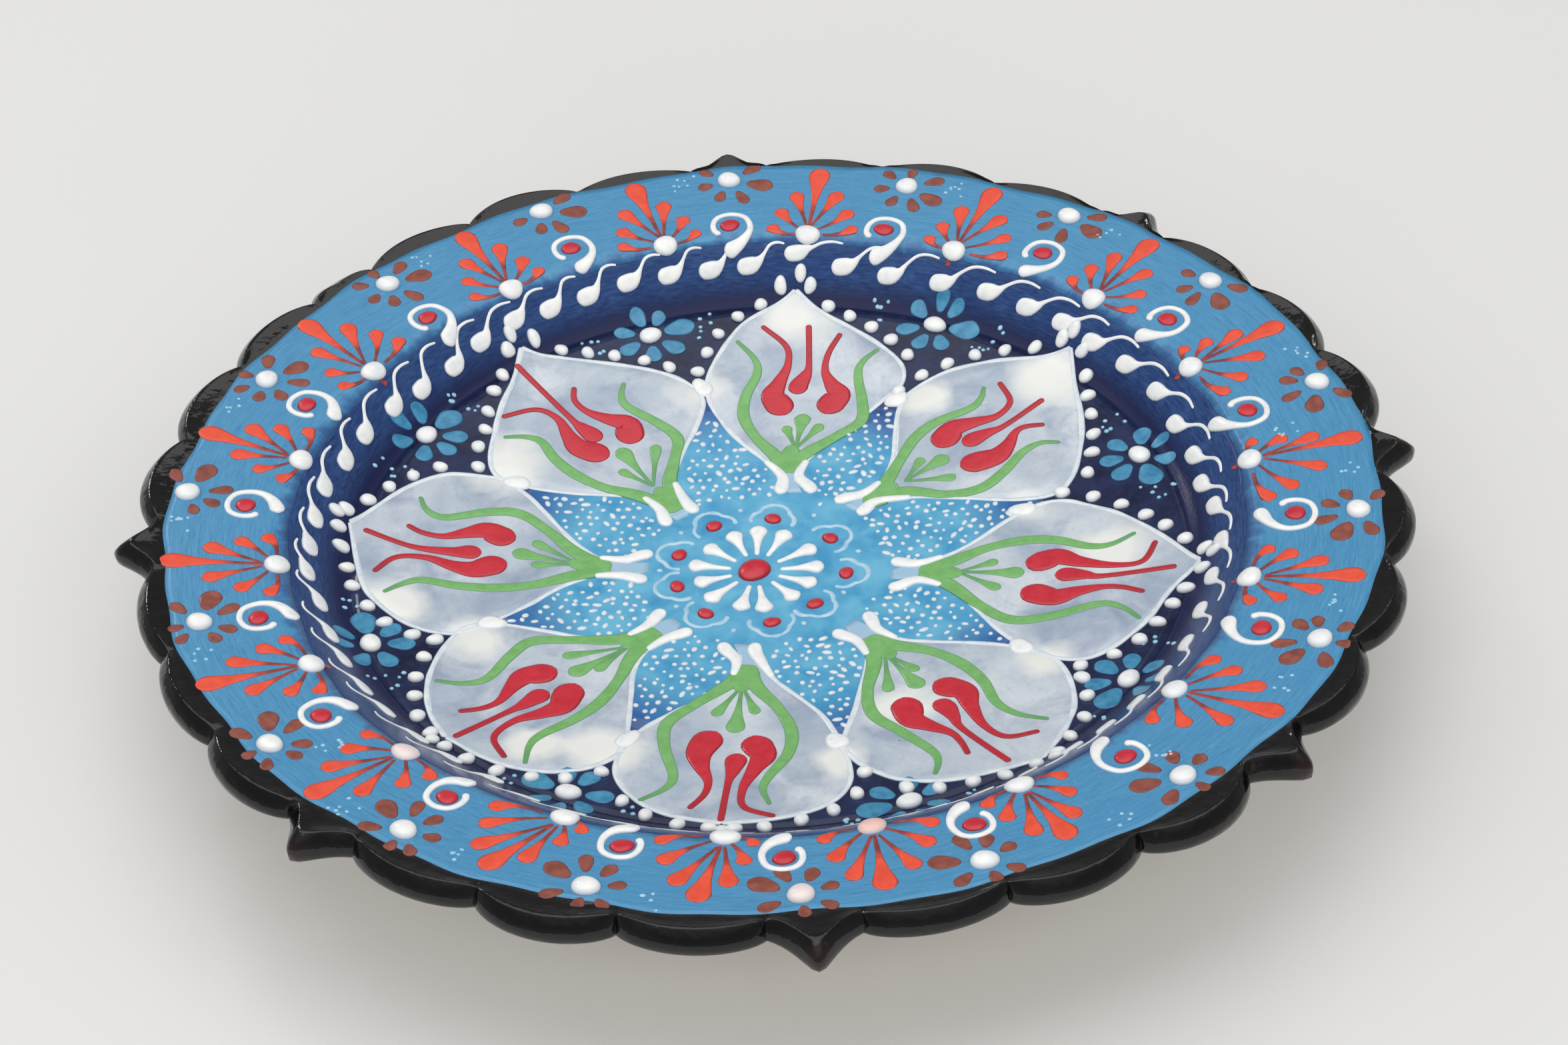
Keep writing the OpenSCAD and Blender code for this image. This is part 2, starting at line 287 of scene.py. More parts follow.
class Paint:
    """A material with short calls for the nodes that the glazes use."""

    def __init__(self, name, rough, coat=0.0, coat_rough=0.05, shine=0.5):
        self.material = bpy.data.materials.new(name)
        self.material.use_nodes = True
        self.tree = self.material.node_tree
        self.shader = self.tree.nodes["Principled BSDF"]
        self.shader.inputs["Roughness"].default_value = rough
        self.shader.inputs["Specular IOR Level"].default_value = shine
        self.shader.inputs["Coat Weight"].default_value = coat
        self.shader.inputs["Coat Roughness"].default_value = coat_rough
        self.place = self.node("ShaderNodeTexCoord").outputs["Object"]

    def node(self, kind, inputs=None, **settings):
        made = self.tree.nodes.new(kind)
        for key, value in settings.items():
            setattr(made, key, value)
        for key, value in (inputs or {}).items():
            if isinstance(value, bpy.types.NodeSocket):
                self.tree.links.new(value, made.inputs[key])
            else:
                made.inputs[key].default_value = value
        return made

    def math(self, kind, a, b=0.0, clamp=False):
        return self.node("ShaderNodeMath", {0: a, 1: b}, operation=kind, use_clamp=clamp).outputs[0]

    def radius(self):
        """Distance from the plate's middle, in millimetres."""
        flat = self.node("ShaderNodeVectorMath", {0: self.place, 1: (1, 1, 0)}, operation="MULTIPLY")
        far = self.node("ShaderNodeVectorMath", {0: flat.outputs[0]}, operation="LENGTH")
        return self.math("MULTIPLY", far.outputs["Value"], 1 / MM)

    def distance(self, x, y):
        """Distance from the upright line through a place on the plate, in millimetres."""
        flat = self.node("ShaderNodeVectorMath", {0: self.place, 1: (1, 1, 0)}, operation="MULTIPLY")
        far = self.node("ShaderNodeVectorMath", {0: flat.outputs[0], 1: (x * MM, y * MM, 0)},
                        operation="DISTANCE")
        return self.math("MULTIPLY", far.outputs["Value"], 1 / MM)

    def around(self, turn_scale, r_scale):
        """A coordinate that is drawn out along the heading, for brush marks that go round the plate."""
        flat = self.node("ShaderNodeVectorMath", {0: self.place, 1: (1, 1, 0)}, operation="MULTIPLY")
        way = self.node("ShaderNodeVectorMath", {0: flat.outputs[0]}, operation="NORMALIZE")
        wide = self.node("ShaderNodeVectorMath", {0: way.outputs[0], "Scale": turn_scale}, operation="SCALE")
        out = self.node("ShaderNodeCombineXYZ", {"Z": self.math("MULTIPLY", self.radius(), r_scale)})
        return self.node("ShaderNodeVectorMath", {0: wide.outputs[0], 1: out.outputs[0]}).outputs[0]

    def noise(self, size, detail=3.0, rough=0.5, warp=0.0, where=None, seed=0.0):
        """Noise whose blotches are about size millimetres, or in the units of where."""
        scale = 1 / size if where is not None else 1 / (size * MM)
        made = self.node("ShaderNodeTexNoise", {
            "Vector": where if where is not None else self.place, "W": seed, "Scale": scale,
            "Detail": detail, "Roughness": rough, "Distortion": warp}, noise_dimensions="4D")
        return made.outputs["Fac"]

    def specks(self, spacing, size, seed=0.0):
        """Small round specks, 1 in their middle."""
        cells = self.node("ShaderNodeTexVoronoi", {
            "Vector": self.place, "W": seed, "Scale": 1 / (spacing * MM), "Randomness": 1.0},
            voronoi_dimensions="4D")
        return self.span(cells.outputs["Distance"], size / spacing, size / spacing * 0.6)

    def span(self, value, low, high, out_low=0.0, out_high=1.0):
        return self.node("ShaderNodeMapRange", {
            "Value": value, "From Min": low, "From Max": high, "To Min": out_low, "To Max": out_high},
            clamp=True).outputs["Result"]

    def mark(self, name):
        return self.node("ShaderNodeAttribute", attribute_name=name).outputs["Fac"]

    def mix(self, factor, a, b, kind="MIX"):
        made = self.node("ShaderNodeMix", {0: factor, 6: a, 7: b}, data_type="RGBA", blend_type=kind)
        return made.outputs[2]

    def finish(self, color, rough=None, height=None, deep=0.1):
        links = self.tree.links
        links.new(color, self.shader.inputs["Base Color"])
        if rough is not None:
            links.new(rough, self.shader.inputs["Roughness"])
        if height is not None:
            bump = self.node("ShaderNodeBump", {"Height": height, "Distance": deep * MM, "Strength": 1.0})
            links.new(bump.outputs[0], self.shader.inputs["Normal"])
        return self.material


def sky_paint():
    p = Paint("sky_glaze", 0.32, 0.1, 0.08)
    streak = p.noise(0.12, 5, 0.6, 0.3, p.around(2.6, 0.5))
    broad = p.noise(9, 3, 0.55)
    fleck = p.noise(0.35, 2, 0.6, seed=2)
    color = p.mix(p.span(streak, 0.33, 0.7), rgb(58, 130, 178), rgb(84, 156, 198))
    color = p.mix(p.span(broad, 0.35, 0.7, 0, 0.5), color, rgb(66, 142, 190))
    color = p.mix(p.span(fleck, 0.6, 0.75, 0, 0.3), color, rgb(140, 192, 216))
    ragged = p.span(p.noise(0.05, 3, 0.6, 0.2, p.around(2.2, 0.02)), 0.3, 0.7, -1.3, 1.3)
    r = p.math("ADD", p.radius(), ragged)
    color = p.mix(p.span(r, 67.6, 65.4, 0, 0.85), color, rgb(46, 86, 146))
    return p.finish(color, p.span(streak, 0.3, 0.7, 0.24, 0.38), streak, 0.05)


def cobalt_paint():
    p = Paint("cobalt_glaze", 0.24, shine=0.15)
    streak = p.noise(0.1, 5, 0.62, 0.35, p.around(3.5, 0.35))
    color = p.mix(p.span(streak, 0.34, 0.66), rgb(34, 54, 104), rgb(60, 92, 142))
    color = p.mix(p.span(p.noise(6, 3, 0.5), 0.4, 0.7, 0, 0.6), color, rgb(38, 62, 112))
    color = p.mix(p.span(p.radius(), 62, 59.2), color, rgb(30, 36, 74))
    return p.finish(color, p.span(streak, 0.3, 0.7, 0.12, 0.24), streak, 0.04)


def navy_paint():
    p = Paint("navy_glaze", 0.22, shine=0.3)
    cloud = p.noise(7, 4, 0.55)
    color = p.mix(p.span(cloud, 0.35, 0.68), rgb(22, 27, 54), rgb(38, 48, 86))
    color = p.mix(p.span(p.noise(1.2, 3, 0.6), 0.45, 0.75, 0, 0.35), color, rgb(52, 68, 110))
    return p.finish(color, p.span(cloud, 0.3, 0.7, 0.1, 0.2), p.noise(3, 2), 0.03)


def turquoise_paint():
    p = Paint("turquoise_glaze", 0.22, 0.1, 0.05)
    wash = p.noise(5, 3, 0.55, 0.4)
    r = p.math("ADD", p.radius(), p.span(wash, 0.3, 0.7, -2.5, 2.5))
    color = p.mix(p.span(wash, 0.35, 0.65), rgb(68, 152, 200), rgb(108, 184, 218))
    color = p.mix(p.span(r, 29, 36), color, rgb(48, 100, 166))
    color = p.mix(p.span(r, 36, 41), color, rgb(38, 50, 100))
    return p.finish(color, p.span(wash, 0.3, 0.7, 0.12, 0.22), p.noise(2.5, 2), 0.03)


# Places where the white of the petals has run together: x, y and reach
PALE_PLACES = [(8, 54, 7), (25, 34, 4), (43, 35, 7), (47, -5, 7), (36, 7, 4), (35, -27, 4),
               (15, -34, 5), (6, -44, 4), (-24, -38, 6), (-33, -36, 4), (-41, -12, 5), (-51, -6, 6),
               (-36, 26, 7), (-7, 40, 5)]


def cloud_paint():
    p = Paint("cloud_glaze", 0.2, 0.15, 0.05)
    wash = p.noise(13, 4, 0.5, 0.5)
    fine = p.noise(0.8, 4, 0.7)
    grey = p.noise(9, 5, 0.6, 0.7, seed=4)
    color = p.mix(p.span(wash, 0.36, 0.62), rgb(168, 183, 200), rgb(210, 218, 226))
    color = p.mix(p.span(grey, 0.48, 0.7, 0, 0.8), color, rgb(134, 151, 178))
    color = p.mix(p.span(fine, 0.52, 0.74, 0, 0.4), color, rgb(138, 156, 190))
    dark = p.math("MULTIPLY", p.specks(2.6, 0.3), p.span(grey, 0.45, 0.6, 0, 0.5))
    color = p.mix(dark, color, rgb(70, 84, 130))
    color = p.mix(p.span(p.radius(), 27, 19), color, rgb(160, 196, 222))
    ragged = p.span(p.noise(7, 2, 0.5, seed=9), 0.3, 0.7, -1.8, 1.8)
    for x, y, size in PALE_PLACES:
        near = p.span(p.math("ADD", p.distance(x, y), ragged), size * 1.1, size * 0.4)
        color = p.mix(near, color, rgb(236, 238, 234))
    return p.finish(color, p.span(grey, 0.3, 0.7, 0.14, 0.22), p.noise(4, 2), 0.03)


def black_paint():
    p = Paint("black_glaze", 0.1, shine=0.5)
    cloud = p.noise(5, 4, 0.6)
    color = p.mix(p.span(cloud, 0.4, 0.7), rgb(4, 4, 5), rgb(14, 14, 17))
    color = p.mix(p.math("MULTIPLY", p.specks(4.5, 0.35, 3), 0.4), color, rgb(92, 84, 78))
    color = p.mix(p.span(p.noise(2.2, 3, 0.6, seed=5), 0.66, 0.78, 0, 0.35), color, rgb(84, 58, 44))
    color = p.mix(p.span(p.radius(), 87.4, 89, 0, 0.35), color, rgb(62, 42, 34))
    return p.finish(color, p.span(cloud, 0.3, 0.75, 0.05, 0.14), p.noise(2.2, 3, 0.5), 0.16)


def clay_paint():
    p = Paint("clay", 0.3, 0.3, 0.08)
    wash = p.noise(14, 4, 0.55)
    color = p.mix(p.span(wash, 0.35, 0.65), rgb(226, 220, 206), rgb(240, 237, 228))
    color = p.mix(p.specks(3.4, 0.22, 1), color, rgb(150, 120, 92))
    height = p.math("MULTIPLY", p.node("ShaderNodeSeparateXYZ", {0: p.place}).outputs["Z"], 1 / MM)
    bare = p.span(p.math("ADD", height, p.span(p.noise(3, 3), 0.3, 0.7, -0.25, 0.25)), 1.0, 0.7)
    color = p.mix(bare, color, rgb(214, 178, 142))
    grain = p.noise(0.5, 4, 0.7)
    color = p.mix(p.math("MULTIPLY", bare, p.span(grain, 0.4, 0.7, 0, 0.5)), color, rgb(186, 146, 110))
    return p.finish(color, p.span(bare, 0, 1, 0.2, 0.75), grain, 0.06)


def enamel_paint(name, thin, thick, edge_color, rough=0.28, warm=None, edge_amount=0.8):
    """Raised enamel: thin where the brush ran dry, and darker round its border."""
    p = Paint(name, rough, 0.12, 0.06)
    body = p.noise(1.6, 3, 0.55)
    color = p.mix(p.span(body, 0.35, 0.68), thin, thick)
    if warm is not None:
        color = p.mix(p.mark("tint"), color, warm)
    border = p.math("ADD", p.mark("edge"), p.span(body, 0.3, 0.7, -0.08, 0.08))
    rim = p.span(border, 0.74, 0.96, 0, edge_amount)
    color = p.mix(rim, color, edge_color)
    return p.finish(color, p.span(body, 0.3, 0.7, rough * 0.8, rough * 1.2), p.noise(0.6, 2), 0.02)


clay = clay_paint()
black = black_paint()
sky = sky_paint()
cobalt = cobalt_paint()
navy = navy_paint()
cloud = cloud_paint()
turquoise = turquoise_paint()
white = enamel_paint("white_enamel", rgb(232, 236, 240), rgb(250, 250, 246), rgb(196, 208, 222), 0.3,
                     rgb(238, 190, 178), 0.5)
red = enamel_paint("red_enamel", rgb(194, 33, 51), rgb(207, 41, 58), rgb(140, 22, 36))
orange = enamel_paint("orange_enamel", rgb(226, 74, 46), rgb(240, 86, 58), rgb(108, 46, 52), 0.36,
                      edge_amount=0.95)
soft = enamel_paint("soft_enamel", rgb(208, 220, 230), rgb(232, 238, 240), rgb(178, 202, 222), 0.3)
green = enamel_paint("green_enamel", rgb(112, 174, 100), rgb(127, 187, 113), rgb(92, 150, 104))
blue = enamel_paint("blue_enamel", rgb(44, 122, 164), rgb(74, 154, 192), rgb(36, 84, 130))
brown = enamel_paint("brown_enamel", rgb(122, 60, 48), rgb(154, 82, 66), rgb(92, 52, 54), 0.36)
faint = enamel_paint("faint_enamel", rgb(150, 198, 226), rgb(190, 220, 236), rgb(130, 184, 216), 0.32)
mist = enamel_paint("pale_enamel", rgb(138, 196, 224), rgb(176, 218, 236), rgb(110, 176, 214), 0.34)

# ---- Clay body, rim and fields of glaze ----


def lathe(marks, profile, around=240):
    """A closed solid of revolution. The profile's first and last points lie on the axis."""
    angle = np.arange(around) * 2 * math.pi / around
    verts = [[(0, 0, profile[0][1])]]
    for r, z in profile[1:-1]:
        verts.append(np.column_stack([r * np.cos(angle), r * np.sin(angle), np.full(around, z)]))
    verts.append([(0, 0, profile[-1][1])])
    marks.add(np.vstack(verts), domed_faces(len(profile) - 2, around))


def annulus(marks, in_r, out_r, low, high, around=720, rows=12):
    """A thin ring of glaze between two radii, which may be functions of the heading."""
    heads = np.arange(around) * 360 / around
    inner = np.array([in_r(a) if callable(in_r) else in_r for a in heads])
    outer = np.array([out_r(a) if callable(out_r) else out_r for a in heads])
    way = np.column_stack([np.cos(np.radians(heads)), np.sin(np.radians(heads))])
    verts = []
    for h, ts in ((high, np.linspace(0, 1, rows)), (low, np.linspace(1, 0, rows))):
        for t in ts:
            verts.append(lift(way * lerp(inner, outer, t)[:, None], h))
    count = 2 * rows * around
    marks.add(np.vstack(verts), [[i % count for i in f[::-1]] for f in ring_faces(2 * rows + 1, around)])


foot_r = 50
foot_w = 4.5
foot_h = 4.5


def body_profile():
    top = [(r, surf(r) - glaze_t) for r in np.concatenate([
        np.arange(0, 56, 4), np.arange(56, 69, 0.8), [70, 74, 78, 82]])]
    under = [(82.8, rim_base + 1.2), (82, rim_base + 0.2), (79, rim_base - 0.6), (75, rim_base - 2),
             (70, rim_base - 5.2), (66, rim_base - 9), (62.5, rim_base - 12.2), (59, rim_base - 14.3),
             (55, rim_base - 15.7), (52.6, rim_base - 16.5), (51.2, rim_base - 17.5),
             (foot_r + 0.4, 2.4), (foot_r, 0.9), (foot_r - 0.3, 0.35), (foot_r - 0.9, 0.04),
             (foot_r - 1.5, 0), (foot_r - foot_w + 1.5, 0), (foot_r - foot_w + 0.9, 0.04),
             (foot_r - foot_w + 0.3, 0.35), (foot_r - foot_w, 0.9), (foot_r - foot_w - 0.4, 2.8),
             (foot_r - foot_w - 1.4, foot_h - 0.4), (foot_r - foot_w - 3, foot_h), (38, foot_h + 0.1),
             (20, foot_h + 0.3)]
    return top + under + [(0, foot_h + 0.3)]


marks = Marks()
lathe(marks, body_profile())
marks.build("clay_body", clay)

# The rim's outline: at every 45 degrees a narrow point, and three round lobes between two points
point_half = 4.0
lobe_span = (45 - 2 * point_half) / 3
cusp_r = 84.2
lobe_tops = [88, 87.6, 87, 86.4, 86.7, 86, 86.2, 87.4, 86.9, 87, 87.3, 87.3,
             86, 86.2, 86.8, 86.4, 87.3, 86.7, 86.4, 87.3, 88, 87.5, 87.7, 87.6]
point_tops = [89.3, 88.8, 88.4, 86.4, 88.8, 89.2, tip_r - 0.1, 89.5]
blunt_point = 3
tip_round = 0.18


def element(a):
    """What heading a falls in, a point or not, with its number and the place across it from -1 to 1."""
    off = (a + point_half) % 45 - point_half
    point = int((a + point_half) % 360 // 45)
    if off <= point_half:
        return True, point, off / point_half
    k = (off - point_half) / lobe_span
    return False, point * 3 + min(int(k), 2), (k % 1) * 2 - 1


def ogee(d):
    return 0.38 * (1 - d) + 0.62 * (1 - d) ** 2.4


def outline_r(a):
    pointed, number, u = element(a)
    d = min(abs(u), 1.0)
    if not pointed:
        return cusp_r + (lobe_tops[number] - cusp_r) * (1 - d * d) ** 0.75
    if number == blunt_point:
        return cusp_r + (point_tops[number] - cusp_r) * (1 - d ** 3) ** 0.8
    d = min(math.hypot(d, tip_round), 1.0)
    return cusp_r + (point_tops[number] - cusp_r) * ogee(d) / ogee(tip_round)


def rim_headings():
    """Headings that crowd towards the cusps, where the outline turns sharply."""
    heads = []
    for k in range(8):
        start = 45 * k - point_half
        heads += [start + point_half * (1 + math.sin(t))
                  for t in np.linspace(-math.pi / 2, math.pi / 2, 25)[:-1]]
        for j in range(3):
            first = start + 2 * point_half + j * lobe_span
            heads += [first + lobe_span / 2 * (1 + math.sin(t))
                      for t in np.linspace(-math.pi / 2, math.pi / 2, 33)[:-1]]
    return heads


# Where the black begins, on a ring that sits a little off the plate's middle
black_in_r = 82.5
black_shift = 1.0
black_shift_to = 45


def rim_inner_r(a):
    wave = 0.3 * sind(a * 17) + 0.16 * sind(a * 41)
    shift = black_shift * cosd(a - black_shift_to)
    return min(black_in_r + shift + wave, cusp_r - 0.4)


# The outer face in steps from the ridge: share of its width, and drop below the ridge
FACE = [(0.1, 0.12), (0.26, 0.34), (0.48, 0.66), (0.72, 1.06), (0.9, 1.5), (0.98, 1.95), (1.0, 2.4)]


def rim(marks):
    """Flat facets that carry on from the flange, a ridge, and an outer face that bulges down and out."""
    heads = rim_headings()
    n = len(heads)
    out = np.array([outline_r(a) for a in heads])
    inner = np.array([rim_inner_r(a) for a in heads])
    cusp = np.array([abs(element(a)[2]) ** 10 for a in heads])
    pointed = np.array([float(element(a)[0]) * (1 - abs(element(a)[2])) for a in heads])
    way = np.column_stack([np.cos(np.radians(heads)), np.sin(np.radians(heads))])
    rings = []

    def ring(r, z):
        rings.append(np.column_stack([way * np.broadcast_to(r, n)[:, None], np.broadcast_to(z, n)]))

    brim = surf(inner)
    ridge = np.maximum(out - 1.6 + 0.7 * cusp - 0.8 * pointed, inner + 0.3)
    wave = np.sin(np.radians(np.array(heads) * 13)) + np.sin(np.radians(np.array(heads) * 29))
    crest = surf(ridge) + 0.42 - 0.4 * cusp + 0.07 * wave
    ring(inner, brim - glaze_t - 0.2)
    ring(inner, brim - 0.05)
    ring(inner + 0.15, brim + 0.03)
    for t in (0.3, 0.6, 0.85):
        ring(lerp(inner + 0.15, ridge, t), brim + 0.03 + (crest - brim - 0.03) * t ** 1.6)
    ring(ridge, crest - 0.02)
    for across, down in FACE:
        ring(lerp(ridge, out, across), crest - down)
    for back, up in ((0.1, 0.72), (0.4, 0.34), (0.9, 0.1)):
        ring(out - back, rim_base + up)
    ring(np.minimum(out - 1.9, 84), rim_base)
    ring(81.6, rim_base - 0.12)
    ring(78.6, rim_base - 0.85)
    ring(78.2, rim_base - 0.4)
    ring(78.4, rim_base + 0.4)
    count = len(rings)
    faces = [[i % (count * n) for i in f[::-1]] for f in ring_faces(count + 1, n)]
    marks.add(np.vstack(rings), faces)


rim(marks)
marks.build("scalloped_rim", black)

EDGE = [(0, 65.3), (60, 65.3), (90, 65.4), (200, 65.4), (230, 66.4), (270, 67.2), (310, 66.6), (335, 65.5)]


def field_edge_r(a):
    """Where sky blue meets cobalt, with the small waves of a brush taken round on a wheel."""
    return by_heading(EDGE, a) + 0.25 * sind(a * 9) + 0.12 * sind(a * 31)


annulus(marks, field_edge_r, lambda a: rim_inner_r(a) + 0.3, -glaze_t, 0.0, rows=16)
marks.build("flange_glaze", sky)

annulus(marks, 57.6, lambda a: field_edge_r(a) + 0.15, -glaze_t, -0.02, rows=18)
marks.build("cavetto_glaze", cobalt)

annulus(marks, touch_r - 3, 57.8, -glaze_t, -0.04, around=360, rows=12)
marks.build("well_ground", navy)


def disc(marks, out_r, low, high, around=240, rows=12):
    """A thin disc of glaze."""
    angle = np.arange(around) * 2 * math.pi / around
    way = np.column_stack([np.cos(angle), np.sin(angle)])
    verts = [lift([(0, 0)], high)]
    for t in np.linspace(0, 1, rows)[1:]:
        verts.append(lift(way * out_r * t, high))
    for t in np.linspace(1, 0, rows)[:-1]:
        verts.append(lift(way * out_r * t, low))
    verts.append(lift([(0, 0)], low))
    marks.add(np.vstack(verts), domed_faces(2 * (rows - 1), around))


disc(marks, touch_r - 0.5, -glaze_t, 0.02)
marks.build("turquoise_ground", turquoise)

# ---- The eight big petals ----

# Distances from the plate's middle at which each petal's half widths are given, left and right
REACH = [20, 24, 28, 32, 36, 40, 44, 48, 52, 55]
# Heading, tip, left edge, right edge and feet. All but the headings are in millimetres, outwards
# from the plate's middle and sideways from the heading.
PETALS = [
    (43, (60.5, -4), (0.6, 0.8, 2.2, 5.2, 8.3, 10.2, 10, 8.8, 6, 3),
     (-1.8, -5, -11, -17.5, -21.3, -21, -19, -16.3, -12.8, -9.5), (2.5, -1.5)),
    (84, (60, -2), (-1, 1.5, 5, 7.7, 9.7, 10.5, 10.2, 8.8, 7, 4.8),
     (-3, -4.5, -7.8, -11.5, -14.8, -18, -18, -15.3, -11.2, -7.5), (-1, -5)),
    (123, (60, 0.5), (4, 4.5, 9, 13.5, 17, 18.8, 17, 13.5, 9.8, 6),
     (0, -1, -5, -10.8, -15, -15.4, -14, -11.2, -7.5, -4.5), (5, 0.5)),
    (169, (59, -0.5), (3.4, 4, 7, 12, 16.3, 19.7, 20, 18.5, 15.3, 11),
     (0.3, 0, -3, -7.6, -12, -14.8, -15, -14.5, -11.5, -7.5), (3.8, -1.5)),
    (217, (56.5, 1), (2, 2.3, 4.5, 8.8, 13.2, 17.3, 18, 17, 13.8, 8.5),
     (-1.6, -1.8, -4.5, -10, -15, -17, -15.5, -13, -9.2, -4.5), (2.7, -2.7)),
    (261, (56.5, -1), (0.8, 2.4, 6, 9.5, 11.6, 13.2, 14.3, 14.3, 12, 6.5),
     (-2.3, -2.8, -5, -9.5, -13.2, -15.6, -16, -15.3, -12.5, -8), (-0.5, -4.5)),
    (306, (58, -3), (1.5, 2.2, 5, 8.3, 11, 12.8, 13, 11.3, 8.3, 4.2),
     (-1.8, -3, -7.5, -12.3, -17.6, -19.3, -19.2, -18, -14.5, -9.5), (2.7, -2.5)),
    (351, (59, -2.5), (1, 2.5, 5.5, 9.5, 12.7, 13.6, 12, 9.8, 6.2, 2.8),
     (-2.2, -3.8, -8, -14, -18.5, -21, -21.6, -19, -14, -8), (1.5, -3.8)),
]
# The red strokes of each petal's tulip, from head to tip: left, middle and right
TULIPS = [
    (((34.4, -0.9), (36.8, -0.4), (39, -0.1), (41.5, -1.6), (44.5, -3.5), (48, -3), (50.3, 1)),
     ((36.9, -3.7), (38.8, -4), (41, -4.8), (43.5, -5.8), (51, -6.8)),
     ((33, -6.4), (35.3, -7.7), (37.8, -9.1), (40.5, -8.9), (43.3, -8), (45, -8.5), (46.8, -10.5))),
    (((34, -1.2), (36.2, -0.1), (38.4, 0.8), (41, 0), (45, -1.2), (49, -0.8), (53.4, 2.9)),
     ((38.4, -2.8), (40.3, -2.9), (42.6, -3.9), (44.8, -4.3), (53.4, -4.1)),
     ((34, -6.8), (36.2, -7.8), (38.2, -8.8), (40.5, -7.7), (43.5, -6.7), (47.3, -7.2), (51.4, -8.9))),
    (((34, 3.4), (36.2, 4.5), (38.4, 5.6), (41.3, 5.3), (45.3, 4.5), (48.6, 6), (50, 11)),
     ((37.7, 2.3), (39.7, 2.5), (42, 2.8), (44.5, 2.9), (58.3, 2.8)),
     ((34.6, -0.8), (36.6, -2.2), (38.6, -3), (41, -1.4), (44, 0.1), (47, 0.2), (49.5, -1.4))),
    (((36.4, 3.1), (38.4, 4.2), (40.6, 5.5), (43.5, 5.3), (47.5, 4.3), (51.5, 5.2), (53.8, 9)),
     ((40.2, 1.6), (42, 1.9), (44.5, 2.3), (50, 2.3), (57, 0.2)),
     ((36.1, -1.9), (38.2, -2.4), (40.4, -3.3), (43, -2.2), (46, -0.8), (49, -1), (51.4, -2.2))),
    (((36.1, 2.1), (38.2, 3.3), (40.6, 4.8), (43.5, 4.5), (47.5, 3.6), (51.7, 4.9), (53.3, 9.4)),
     ((39.9, 1.1), (41.8, 1.2), (44.3, 1.5), (47, 1.5), (55.8, 1.7)),
     ((36, -2), (38.2, -2.6), (40.4, -3.4), (43, -2.6), (46.3, -1.1), (49, -1.2), (51.9, -2.5))),
    (((37.2, 1.2), (39.2, 1.8), (41.6, 2.8), (44.5, 2), (49, 0.9), (53, 1.5), (54.9, 5.6)),
     ((41.2, -0.5), (43, -0.6), (45.3, -0.8), (48, -1.1), (56.2, -1.2)),
     ((36.5, -3.8), (38.6, -4.8), (41.4, -5.5), (44.3, -4.9), (47.5, -3.7), (50.5, -3.9), (53.7, -5.5))),
    (((35, -0.9), (37, -0.4), (39.6, 0.3), (42.6, -1.3), (47, -3), (51, -2.8), (53.4, 0.8)),
     ((38.2, -3.7), (40.2, -3.6), (42.5, -4.3), (45.5, -5.4), (55.4, -6.3)),
     ((34.6, -6), (36.6, -7.2), (39, -8.4), (41.8, -7.8), (45, -7), (47.5, -7.5), (50.2, -8.7))),
    (((35.3, 0.4), (37.2, 0.3), (39.8, 1.1), (42.8, -0.3), (47.5, -1.6), (51.3, -1.2), (53.1, 3)),
     ((39.4, -2.9), (41.3, -2.9), (43.6, -3.3), (46.2, -3.8), (55.9, -3)),
     ((35, -5.6), (37.2, -6.8), (39.6, -7.7), (42.4, -6.8), (45.8, -6.2), (48.6, -6.6), (51.6, -8))),
]
